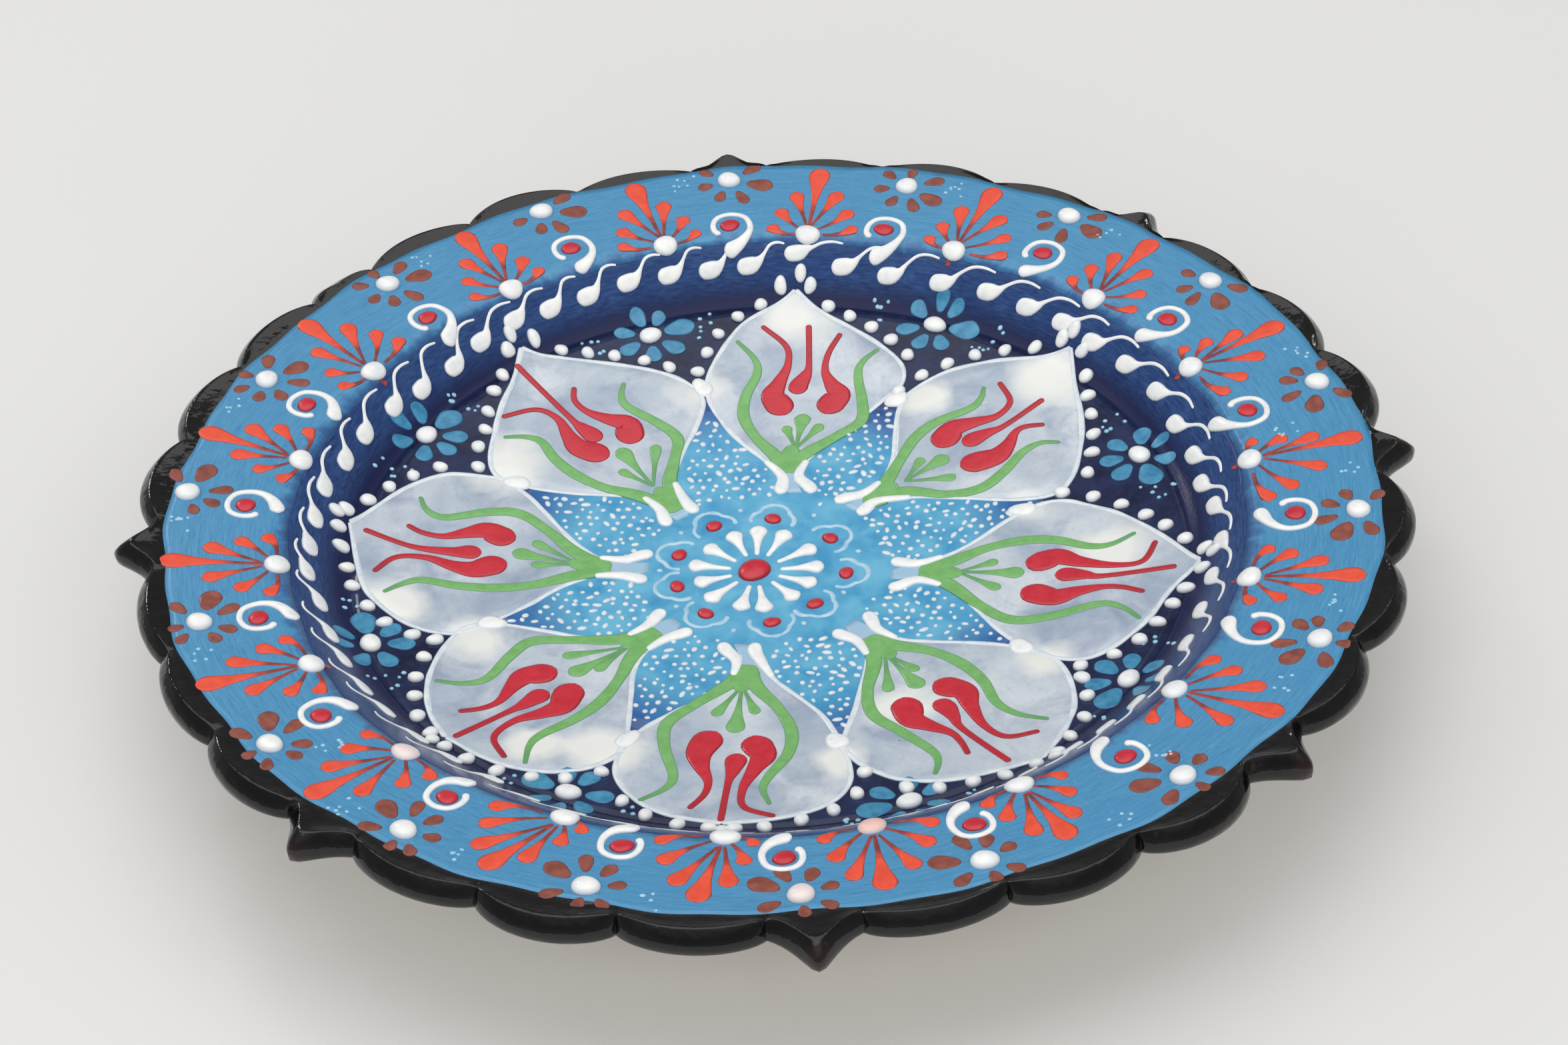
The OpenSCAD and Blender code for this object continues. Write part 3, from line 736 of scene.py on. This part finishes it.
# Green in each petal: left leaf and right leaf from stem to tip, the sprig's foot and its three heads
GREENS = [
    (((19, -0.8), (24, 0), (29, 1.6), (34, 3.1), (38.5, 2.9), (43.5, 0.8), (46, 0.9), (48.3, 2.2)),
     ((19, -1.2), (24.2, -3.4), (27.3, -8.7), (31, -11.8), (35.5, -12.2), (40.5, -11.7), (43.4, -12.6),
      (45, -14.9)),
     (26, -2), ((31.4, -0.6), (33.8, -3.3), (31, -7.3))),
    (((21.3, -1.7), (25, 0.1), (29, 3), (33.5, 4.9), (38, 4.8), (43, 3.3), (46.3, 3.8), (50.3, 6.6)),
     ((21.3, -1.7), (25, -4), (29, -8.7), (32, -12.1), (36, -12.3), (42, -11.6), (45, -12.2), (47.7, -14.6)),
     (26.5, -2.8), ((31.5, -1.2), (34, -3.8), (31.7, -6.5))),
    (((18.5, 2.3), (24.5, 4.8), (29, 7.8), (34, 9.5), (38.5, 9.8), (42.3, 9.3), (44.5, 10.6), (46.2, 13.3)),
     ((18.5, 1.8), (24, -0.2), (28, -4), (31.5, -7), (36, -6.7), (41.5, -5.3), (44, -6), (46, -7.9)),
     (25, 2), ((30.8, 3.8), (34.7, 1), (32.2, -3.7))),
    (((22, 2.2), (27.3, 4.8), (32, 7.4), (37, 9), (42, 9.5), (47, 9.3), (49.5, 10.8), (51.6, 13.1)),
     ((22, 2), (27, -0.4), (32, -4.8), (36.5, -7.8), (41, -7.3), (46.5, -5), (49.3, -6), (50.8, -8.7)),
     (26.5, 1.9), ((33, 3), (36, 0.7), (33.6, -2.1))),
    (((20.2, 0.3), (26, 2), (31, 5), (36, 7.3), (41, 8.2), (46.5, 8.2), (49.2, 9.2), (52.1, 12)),
     ((20.2, -0.2), (25.5, -2), (30.5, -6), (34.8, -9), (39, -8.2), (44.5, -6.1), (47.8, -7.2), (50.3, -9.9)),
     (25.5, 0.2), ((32.2, 1.6), (35.4, 0), (33.6, -3.8))),
    (((21.5, -1), (26, 0.4), (31, 3.9), (36, 6), (41, 6), (46, 4), (49, 3.5), (52.3, 4.7)),
     ((21.5, -1.2), (25.5, -3), (30.5, -7.2), (35, -10.4), (40, -10.2), (46.5, -8.3), (49.5, -9.1),
      (52.4, -12.1)),
     (26.2, -1.4), ((32.3, 1.1), (36.6, -1.4), (33, -4.5))),
    (((21, -0.4), (25, 1), (29.5, 3.4), (34.5, 4.3), (39.5, 3.6), (44.5, 1.5), (48.5, 1.6), (52.4, 3.4)),
     ((21, -0.6), (25.5, -3.2), (30, -8.3), (34.5, -11.2), (40, -11.2), (46, -11.3), (48.5, -12.4),
      (50.3, -14.6)),
     (25.4, -1.2), ((31.5, -0.6), (34.6, -2.9), (32.2, -6.5))),
    (((20.7, -0.8), (25.5, 1.5), (30, 4), (35, 5.2), (39.5, 4.8), (44, 3), (47, 3.1), (50.3, 5.2)),
     ((20.7, -1.2), (25, -3.8), (29.5, -8.8), (33.8, -12.2), (39, -11.9), (45.5, -9.9), (48.6, -11),
      (51.1, -13.9)),
     (26, -1.1), ((31.5, 1), (35.2, -1.9), (32, -5.2))),
]


def petal_side(petal, side):
    """One edge of a petal from its neck to its tip, in the petal's own frame."""
    tip, edge, foot = petal[1], petal[2 if side > 0 else 3], petal[4]
    middle = sum(foot) / 2
    neck = [(16.8, middle + side * 1.0), (18.4, lerp(middle + side * 1.2, edge[0], 0.6))]
    return curve(neck + list(zip(REACH, edge)) + [tip], 1.0)


def even(path, n):
    return along(path, np.linspace(0, length(path), n))


slab_h = 0.1


def petal_slab(marks, petal):
    """A petal's glaze: a shallow slab whose edges roll down, closed by a point at its tip."""
    rows = 56
    left, right = even(petal_side(petal, 1), rows), even(petal_side(petal, -1), rows)
    v = np.concatenate([[-1], np.linspace(-0.97, 0.97, 13), [1]])
    high = np.full(len(v), slab_h)
    high[[0, -1]] = -slab_h
    high[[1, -2]] = slab_h * 0.6
    n = len(v) + 1
    verts = []
    for i in range(rows - 1):
        line = [lerp(right[i], left[i], (t + 1) / 2) for t in v]
        verts.append(lift(turned(line, petal[0]), high))
        verts.append(lift(turned([lerp(right[i], left[i], 0.5)], petal[0]), -ROOT))
    verts.append(lift(turned([petal[1]], petal[0]), -slab_h))
    tip = (rows - 1) * n
    faces = ring_faces(rows - 1, n) + [list(range(n))[::-1]]
    faces += [[tip - n + j, tip - n + (j + 1) % n, tip] for j in range(n)]
    marks.add(np.vstack(verts), faces)


for petal in PETALS:
    petal_slab(marks, petal)
marks.build("white_petals", cloud)

for petal in PETALS:
    for side in (1, -1):
        path = petal_side(petal, side)
        path = along(path, np.linspace(2.5, length(path), 24))
        widths = [0.7, 0.55] + [0.42 + rng.uniform(-0.08, 0.1) for _ in range(len(path) - 2)]
        stroke(marks, turned(path, petal[0]), widths, 0.14, 5, step=0.7)
marks.build("petal_outlines", soft)

# Places where two petals touch, outwards and sideways on the plate
TOUCHES = [(21, 34.5), (-7, 41), (-34.5, 21.5), (-38.5, -9.5), (-21, -36), (6, -39.5), (32, -23.5), (36, 6.5)]

for petal in PETALS:
    for side, y in zip((1, -1), petal[4]):
        edge = petal[2 if side > 0 else 3]
        line = [(16.6, y + side * 0.3), (18, y), (20.5, lerp(y, edge[0], 0.8)), (24, edge[1])]
        stroke(marks, turned(line, petal[0]), [0.95, 1.1, 0.85, 0.5], 0.4)
for x, y in TOUCHES:
    dot(marks, (x, y), 2.1, 1.5, math.degrees(math.atan2(y, x)), 0.4, wobble=0.12)
marks.build("petal_feet", white)


def in_petal(x, y, room, skip=None):
    """Whether a place on the plate is inside a petal or within room of its edge."""
    for petal in PETALS:
        (u, v), = turned([(x, y)], -petal[0])
        if u < 15 or petal is skip:
            continue
        left = np.interp(u, [16.8] + REACH, [petal[4][0]] + list(petal[2]))
        right = np.interp(u, [16.8] + REACH, [petal[4][1]] + list(petal[3]))
        if right - room < v < left + room:
            return True
    return False


placed = []
for petal in PETALS:
    for side in (1, -1):
        path = petal_side(petal, side)
        total = length(path)
        for k in range(7):
            place = total - 1.4 - 4.05 * k
            here, ahead = along(path, [place])[0], along(path, [min(place + 0.5, total)])[0]
            way = (ahead - here) / max(np.hypot(*(ahead - here)), 1e-6)
            spot = here + np.array([-way[1], way[0]]) * side * 1.7
            spot = spot + np.array([rng.uniform(-0.25, 0.25), rng.uniform(-0.25, 0.25)])
            (x, y), = turned([spot], petal[0])
            crowded = any(math.hypot(x - px, y - py) < 2.6 for px, py in placed)
            if math.hypot(x, y) < 42 or crowded or in_petal(x, y, 0.5, petal):
                continue
            placed.append((x, y))
            dot(marks, (x, y), rng.uniform(1.02, 1.25), rng.uniform(0.95, 1.1),
                math.degrees(math.atan2(y, x)), 0.8, wobble=0.07, rise=0.8)
    spot, = turned([(petal[1][0] + 1.9, petal[1][1] + rng.uniform(-0.8, 0.8))], petal[0])
    dot(marks, spot, 1.05, 0.95, petal[0], 0.7, rise=0.8)
marks.build("petal_edge_dots", white)

# The middle of the rosette, a little to one side of the plate's
ROSETTE = (-2, 0)

# ---- Speckles between the petals' feet ----

step = 1.72
row_count = 28
clear_of_rosette = 16.2
for j in range(-row_count, row_count + 1):
    for i in range(-row_count, row_count + 1):
        x = (i + 0.5 * (j % 2)) * step + rng.uniform(-0.45, 0.45)
        y = j * step * 0.87 + rng.uniform(-0.45, 0.45)
        r = math.hypot(x, y)
        if r < 15.4 or r > 41 or in_petal(x, y, 1.0):
            continue
        if math.hypot(x - ROSETTE[0], y - ROSETTE[1]) < clear_of_rosette:
            continue
        size = rng.uniform(0.3, 0.5)
        dot(marks, (x, y), size * rng.choice((1, 1.1, 1.3, 1.8)), size, rng.uniform(0, 180), 0.2, 2, 8)
marks.build("leaf_speckles", soft)

# ---- Tulips, leaves and sprigs in the petals ----

on_petal = {"base": slab_h, "crown": FLAT}

for petal, (left, middle, right) in zip(PETALS, TULIPS):
    for lobe in (left, right):
        stroke(marks, turned(lobe, petal[0]), [1.9, 2.2, 1.85, 1.15, 0.6, 0.48, 0.42], 0.13, 9, **on_petal)
    stroke(marks, turned(middle, petal[0]), [1.35, 1.5, 0.95, 0.5, 0.48], 0.13, 9, **on_petal)
marks.build("tulip_lobes", red)

leaf_widths = [1.2, 1.15, 0.85, 0.95, 0.85, 0.7, 0.5, 0.32]

for petal, (left, right, _, _) in zip(PETALS, GREENS):
    for leaf in (left, right):
        stroke(marks, turned(leaf, petal[0]), leaf_widths, 0.1, 9, **on_petal)
    x, y = left[0]
    stem = [(x, y - 0.2), (x + 2.5, y - 0.3), (x + 6, y - 0.6)]
    stroke(marks, turned(stem, petal[0]), [1.5, 2.1, 0.8], 0.09, 9, **on_petal)
marks.build("tulip_leaves", green)

for petal, (_, _, foot, heads) in zip(PETALS, GREENS):
    for head, w in zip(heads, (0.85, 1.35, 0.9)):
        tail, head = turned([foot, head], petal[0])
        drop(marks, tail, head, 0.25, w, 0.08, **on_petal)
marks.build("tulip_sprigs", green)

# ---- Rosette in the middle ----

# Heading from the rosette's middle and distance of each small crimson dot
RING = [(27.6, 12.2), (74, 11.5), (116.6, 11.6), (156.8, 11.3), (192.8, 11.3), (230, 11.6), (276.8, 11.9),
        (311.6, 11.4), (349, 12.6)]

dot(marks, (ROSETTE[0] - 0.2, ROSETTE[1]), 2.5, 2.25, 65, 0.65, 5, 20)
marks.build("rosette_centre", red)

for k in range(13):
    a = k * 360 / 13 + rng.uniform(-3, 3)
    tail, head = turned([(3.4, 0), (9.3 + rng.uniform(-0.4, 0.3), 0)], a, ROSETTE)
    drop(marks, tail, head, 0.35, 1.5, 0.5)
marks.build("rosette_drops", white)

for a, r in RING:
    spot, = turned([(r, 0)], a, ROSETTE)
    dot(marks, spot, 1.3, 1.1, a + 90, 0.4)
marks.build("rosette_ring_dots", red)

for a, r in RING:
    arc = []
    for t in range(-120, 121, 15):
        far = 2.25 + 0.65 * abs(cosd(1.5 * t))
        arc.append((r + 0.2 + far * cosd(t), 1.12 * far * sind(t)))
    widths = [0.5] + [rng.uniform(0.3, 0.5) for _ in arc[2:]] + [0.5]
    stroke(marks, turned(arc, a, ROSETTE), widths, 0.15, 5)
for (a, r), (b, _) in zip(RING, RING[1:] + [(RING[0][0] + 360, 0)]):
    spot, = turned([(r + 2, 0)], (a + b) / 2, ROSETTE)
    dot(marks, spot, 0.5, 0.45, a, 0.25, 3, 10)
marks.build("rosette_loops", faint)

# ---- Flowers in the navy band ----

NAVY_FLOWERS = [(14.7, 55.3), (60.3, 57), (104.8, 54.8), (146, 57), (194.8, 56.5), (238.6, 55.6),
                (284.4, 56.3), (322.5, 56.5)]


def flower_petal(marks, at, turn, near, far, half, thick):
    """A petal that is narrow towards the flower's middle."""
    line = [(near, 0), (lerp(near, far, 0.55), 0), (far, 0)]
    stroke(marks, turned(line, turn, at), [half * 0.4, half, half * 0.85], thick, 9, crown=FLAT)


for a, r in NAVY_FLOWERS:
    for k in range(7):
        t = k * 360 / 7 - 92 + rng.uniform(-6, 6)
        grow = 1.3 if k == 0 else rng.uniform(0.92, 1.06) - 0.16 * max(cosd(t), 0)
        flower_petal(marks, polar(r, a), a + t, 2.2, 2.2 + 3.7 * grow, 1.4 * grow, 0.07)
marks.build("navy_flower_petals", blue)

for a, r in NAVY_FLOWERS:
    dot(marks, polar(r, a), 1.8, 1.5, a + 90, 0.9, 5, 18, rise=0.8)
marks.build("navy_flower_centres", white)

for a, r in NAVY_FLOWERS:
    for side in (1, -1):
        for k in range(7):
            place = polar(r + rng.uniform(-2.6, 2.6), a + side * (8.8 + rng.uniform(-1.7, 1.7)))
            if not in_petal(*place, 2.5):
                dot(marks, place, rng.uniform(0.28, 0.42), None, 0, 0.15, 2, 8)
marks.build("navy_speckles", mist)

# ---- Commas round the well's wall ----

# Heading and radius of each comma's bulb
BULBS = [(3.2, 60.6), (8.8, 61.1), (15.8, 61.3), (22.5, 62.1), (29.7, 62.2), (36.5, 62.2), (42.2, 62.6),
         (48.2, 62.6), (54.5, 62.8), (61.5, 62.5), (69, 62.3), (75.5, 62.8), (82, 64.2), (88.5, 62.9),
         (93.8, 62.8), (99.5, 62.9), (105.3, 63), (111.3, 62.7), (117, 62.7), (122.5, 63),
         (128.5, 62.5), (134, 61.7), (140.5, 61.7), (146, 62.2), (153, 62.4), (159, 62.4), (165.5, 63),
         (171.8, 62.8), (177.5, 62.8), (182.8, 63), (188, 61.8), (194.3, 61.5), (199.5, 61.3),
         (205.5, 61), (210.5, 60.5), (217, 60), (222.5, 59.3), (229, 58.7)]
BULBS += [(235.5 + 6.35 * k, 60) for k in range(11)]
BULBS += [(305.5, 60.8), (310.5, 61.5), (316.3, 61.5), (322.8, 61.3), (329.3, 61.3), (336.5, 60.8),
          (343.3, 61), (349.8, 61.8), (357.5, 61.3)]
# How far the tails reach, in degrees, and how high they rise
TAIL = [(0, 6.8), (60, 6.8), (83, 6.4), (90, 4.8), (118, 5), (124, 6.4), (178, 6.6), (186, 4.6), (229, 4.6),
        (235, 4), (300, 6.4)]
# Size of the commas: the ones near the front are hidden by the flange, and slight
COMMA_SIZE = [(0, 1), (180, 1), (198, 0.85), (230, 0.7), (238, 0.5), (299, 0.5), (306, 0.95)]
TAIL_R = [(3, 62.9), (25, 64), (50, 65.1), (85, 65.4), (100, 65.6), (150, 64.9), (200, 64), (230, 62.3),
          (300, 63.5), (340, 63.4)]

for a, r in BULBS:
    far = by_heading(TAIL, a) * rng.uniform(0.94, 1.06)
    top = max(by_heading(TAIL_R, a), r + 1.4)
    turn_a = a - 1.9 - 0.34 * (far - 1.9)
    k = by_heading(COMMA_SIZE, a)
    line = [polar(r - 0.1, a + 1.7), polar(r - 0.05, a + 0.6), polar(r + 0.1, a - 0.6),
            polar(r + 0.5, a - 1.4), polar(lerp(r, top, 0.5), a - 2.1), polar(lerp(r, top, 0.92), turn_a),
            polar(top + 0.1, lerp(turn_a, a - far, 0.5)), polar(top - 0.1, a - far)]
    widths = [w * k for w in (0.75, 1.0, 0.97, 0.6, 0.27, 0.23, 0.2, 0.15)]
    stroke(marks, line, widths, 0.42 * k * k)
marks.build("comma_band", white)

# ---- Ornament on the flange ----

# Heading of the white dot, heading of the middle drop's top, and the spread to either side
FANS = [
    (1.2, 1.9, 2.6, 8.8), (21.2, 21.9, 2.8, 7.7), (40.2, 41.5, 3.5, 7), (61.2, 60.8, 4.4, 6.3),
    (80.7, 80.1, 5.5, 5.5), (99.2, 100.5, 4.4, 5.8), (120.7, 120.2, 5.5, 4.6), (144.4, 141.9, 7.2, 4.5),
    (163.8, 162, 6.1, 4.1), (184.1, 182.6, 7, 4), (203.3, 202.2, 6.3, 4.6), (222.9, 221.5, 6.8, 4.3),
    (244.2, 240.4, 6.3, 4.3), (261.7, 259.9, 5, 5.3), (277.2, 276.5, 7.3, 5), (294, 293.8, 5, 4.6),
    (317.1, 319, 5.2, 8), (338.8, 340.4, 4.1, 6.2),
]
fan_r = 66.8
FAN_TOP = [(0, 82.6), (185, 82.4), (222, 81.6), (242, 79.8), (295, 79.6), (317, 81.4), (340, 81.8)]
# For the drops beside the middle one: share of a narrow and of a wide spread, head's radius, half width
FAN_DROPS = [(0.56, 0.47, 76.8, 1.35), (0.83, 0.8, 72.6, 1.3), (1.0, 1.0, 69, 1.2)]

for dot_a, top_a, left, right in FANS:
    tail, head = polar(68.6, lerp(dot_a, top_a, 0.15)), polar(by_heading(FAN_TOP, top_a), top_a)
    drop(marks, tail, head, 0.26, 1.75, 0.05, crown=FLAT)
    for k, (narrow, wide, head_r, w) in enumerate(FAN_DROPS):
        for side, spread, other in ((1, left, right), (-1, right, left)):
            share = narrow if spread < other else wide
            head_a = top_a + side * spread * share
            tail_a = lerp(dot_a, head_a, 0.12 + 0.1 * k)
            drop(marks, polar(68.7 - k, tail_a), polar(head_r + rng.uniform(-0.3, 0.3), head_a), 0.22,
                 w * rng.uniform(0.92, 1.06), 0.05, side * 0.35 * k, crown=FLAT)
    if rng.random() < 0.5:
        drop(marks, polar(65.2, dot_a + 0.4), polar(64.4, dot_a), 0.3, 0.6, 0.05, crown=FLAT)
marks.build("fan_drops", orange)

for dot_a, top_a, left, right in FANS:
    pink = {277.2: 0.9, 222.9: 0.4}.get(dot_a, 0.0)
    dot(marks, polar(fan_r, dot_a), 1.65, 1.95, dot_a + rng.uniform(-15, 15), 0.8, 6, 20, pink, rise=0.7)
marks.build("fan_dots", white)

CURLS = [(10.2, 69.4), (30.4, 70.4), (50.7, 71.2), (71.1, 68.8), (90.6, 69.4), (110.6, 70.8), (132.3, 69),
         (153.9, 70.8), (173.3, 71.8), (193.5, 70.5), (212.1, 70.5), (231.6, 70.2), (251.5, 70.2),
         (267.8, 71.2), (287, 71.1), (305.2, 70.8), (330.3, 71.2), (350.4, 71.6)]
CURL_SIZE = [(0, 1.04), (60, 1), (200, 0.95), (235, 0.88), (290, 0.88), (305, 1.05), (350, 1.1)]
# The stroke round each dot: outwards, sideways and half width
HOOK = [(-2, 1.6, 0.6), (-1.2, 2.4, 0.5), (0.6, 2.5, 0.46), (2.1, 1.6, 0.45), (2.6, -0.4, 0.45),
        (1.7, -2.4, 0.46), (-0.4, -3.1, 0.5), (-2.2, -2.7, 0.6), (-3.6, -1.5, 0.85), (-4.5, 0.1, 1.1),
        (-4.9, 1.2, 0.95)]

for a, r in CURLS:
    k = by_heading(CURL_SIZE, a)
    hook = [(x * min(k, 1.0), y * k) for x, y, _ in HOOK]
    stroke(marks, turned(hook, a, polar(r, a)), [w for _, _, w in HOOK], 0.4)
marks.build("curl_strokes", white)

for a, r in CURLS:
    dot(marks, polar(r, a), 1.4, 1.6, a + rng.uniform(-20, 20), 0.3)
marks.build("curl_dots", red)

BROWN_FLOWERS = [
    (11.5, 80.4), (32.2, 80.5), (51.5, 80.4), (70.3, 79.4), (90.1, 80.2), (111.1, 80.8), (131.5, 78.9),
    (152, 78.6), (172, 80.1), (192.9, 78.2), (213.3, 78.9), (231.5, 78.5), (250.1, 78.9), (269.1, 78.6),
    (285.7, 78.3), (306.7, 78.9), (330.1, 79.2), (350.3, 79.9)]
# Angle round the flower from straight out, distance, length and width of each petal
BROWN_PETALS = [(4, 3.2, 2.3, 1.8), (53, 4, 2.5, 1.9), (108, 3.8, 2.4, 1.9), (153, 4, 2.7, 2),
                (-160, 4.6, 3.4, 2), (-115, 4.9, 4.2, 3), (-64, 4.3, 3.2, 2.1)]

for a, r in BROWN_FLOWERS:
    for t, far, long, wide in BROWN_PETALS:
        t += rng.uniform(-7, 7)
        grow = rng.uniform(0.92, 1.06)
        if math.hypot(*turned(turned([(far, 0)], t), a, polar(r, a))[0]) > 82.8:
            continue
        flower_petal(marks, polar(r, a), a + t, far - long / 2, far + long / 2 * grow, wide / 2 * grow, 0.05)
marks.build("brown_flower_petals", brown)

for a, r in BROWN_FLOWERS:
    dot(marks, polar(r, a), 1.7, 1.8, a, 1.0, 6, 20, 0.35 if a == 269.1 else 0.0, rise=0.65)
marks.build("brown_flower_centres", white)

# Heading and radius of each cluster of faint speckles
CLUSTERS = [(357, 79.5), (336, 80), (323, 79), (308, 73), (299, 80), (256, 80), (237, 79), (225, 79.5),
            (217, 73), (198, 79.5), (177, 80), (157, 80), (126, 80), (95, 80.5), (65, 80.5), (46, 80),
            (17, 80.5), (5, 73)]

for a, r in CLUSTERS:
    for _ in range(rng.randint(5, 7)):
        place = polar(r + rng.uniform(-1.7, 1.7), a + rng.uniform(-1.3, 1.3))
        dot(marks, place, rng.uniform(0.26, 0.38), None, 0, 0.06, 2, 8, crown=FLAT)
marks.build("flange_speckles", mist)

# ---- Floor, light and camera ----


def floor():
    bpy.ops.mesh.primitive_plane_add(size=8)
    plane = bpy.context.object
    plane.name = "floor"
    p = Paint("floor", 0.55)
    color = p.mix(p.noise(120, 2, 0.5), rgb(226, 226, 226), rgb(230, 230, 229))
    plane.data.materials.append(p.finish(color))


def area_light(name, place, aim, size, power, color=(1, 1, 1), mirrored=True):
    data = bpy.data.lights.new(name, "AREA")
    data.shape = "RECTANGLE"
    data.size, data.size_y = size
    data.energy = power
    data.color = color
    light = bpy.data.objects.new(name, data)
    light.location = place
    light.rotation_euler = (Vector(aim) - Vector(place)).to_track_quat("-Z", "Y").to_euler()
    light.visible_glossy = mirrored
    bpy.context.scene.collection.objects.link(light)


# Brightness of the room at the sine of the elevation: dim half way up and bright above
ROOM = [(0.0, 0.3), (0.2, 0.3), (0.4, 0.24), (0.65, 0.24), (0.85, 0.5), (1.0, 0.9)]


def world():
    made = bpy.data.worlds.new("studio")
    made.use_nodes = True
    tree = made.node_tree
    place = tree.nodes.new("ShaderNodeTexCoord")
    split = tree.nodes.new("ShaderNodeSeparateXYZ")
    ramp = tree.nodes.new("ShaderNodeValToRGB")
    tree.links.new(place.outputs["Generated"], split.inputs[0])
    tree.links.new(split.outputs["Z"], ramp.inputs[0])
    stops = ramp.color_ramp.elements
    while len(stops) < len(ROOM):
        stops.new(0.5)
    for stop, (at, level) in zip(stops, ROOM):
        stop.position = at
        stop.color = (level, level, level, 1)
    tree.links.new(ramp.outputs["Color"], tree.nodes["Background"].inputs["Color"])
    tree.nodes["Background"].inputs["Strength"].default_value = 1.0
    bpy.context.scene.world = made


def camera():
    data = bpy.data.cameras.new("camera")
    data.lens = 84.2
    data.sensor_width = 36
    data.dof.use_dof = False
    cam = bpy.data.objects.new("camera", data)
    bpy.context.scene.collection.objects.link(cam)
    azimuth, down, roll = math.radians(2.22), math.radians(37.77), math.radians(-3.21)
    ahead = Vector((math.sin(azimuth) * math.cos(down), math.cos(azimuth) * math.cos(down), -math.sin(down)))
    aim = Vector((2.1, -4.4, surf(fan_r))) * MM
    cam.location = aim - ahead * 497.2 * MM
    level = ahead.cross(Vector((0, 0, 1))).normalized()
    up = level.cross(ahead)
    right = level * math.cos(roll) + up * math.sin(roll)
    up = right.cross(ahead)
    turn = Matrix((right, up, -ahead)).transposed()
    cam.rotation_euler = turn.to_euler()
    bpy.context.scene.camera = cam


floor()
world()
area_light("key", (-0.1, 0.3, 1.3), (0, 0, 0), (1.5, 1.5), 6.6, (1, 0.99, 0.97))
area_light("front", (0, -1.2, 0.7), (0, 0, 0), (1.8, 1.0), 9.5, (1, 0.96, 0.91), False)
area_light("glint", (-0.35, 0.75, 0.55), (0, 0, 0), (0.16, 0.1), 0.5)
area_light("left", (-1.2, -0.1, 0.8), (0, 0, 0), (1.4, 1.2), 3.5, mirrored=False)
area_light("right", (1.2, -0.1, 0.8), (0, 0, 0), (1.4, 1.2), 3.5, mirrored=False)
camera()
bpy.context.scene.view_settings.view_transform = "Standard"
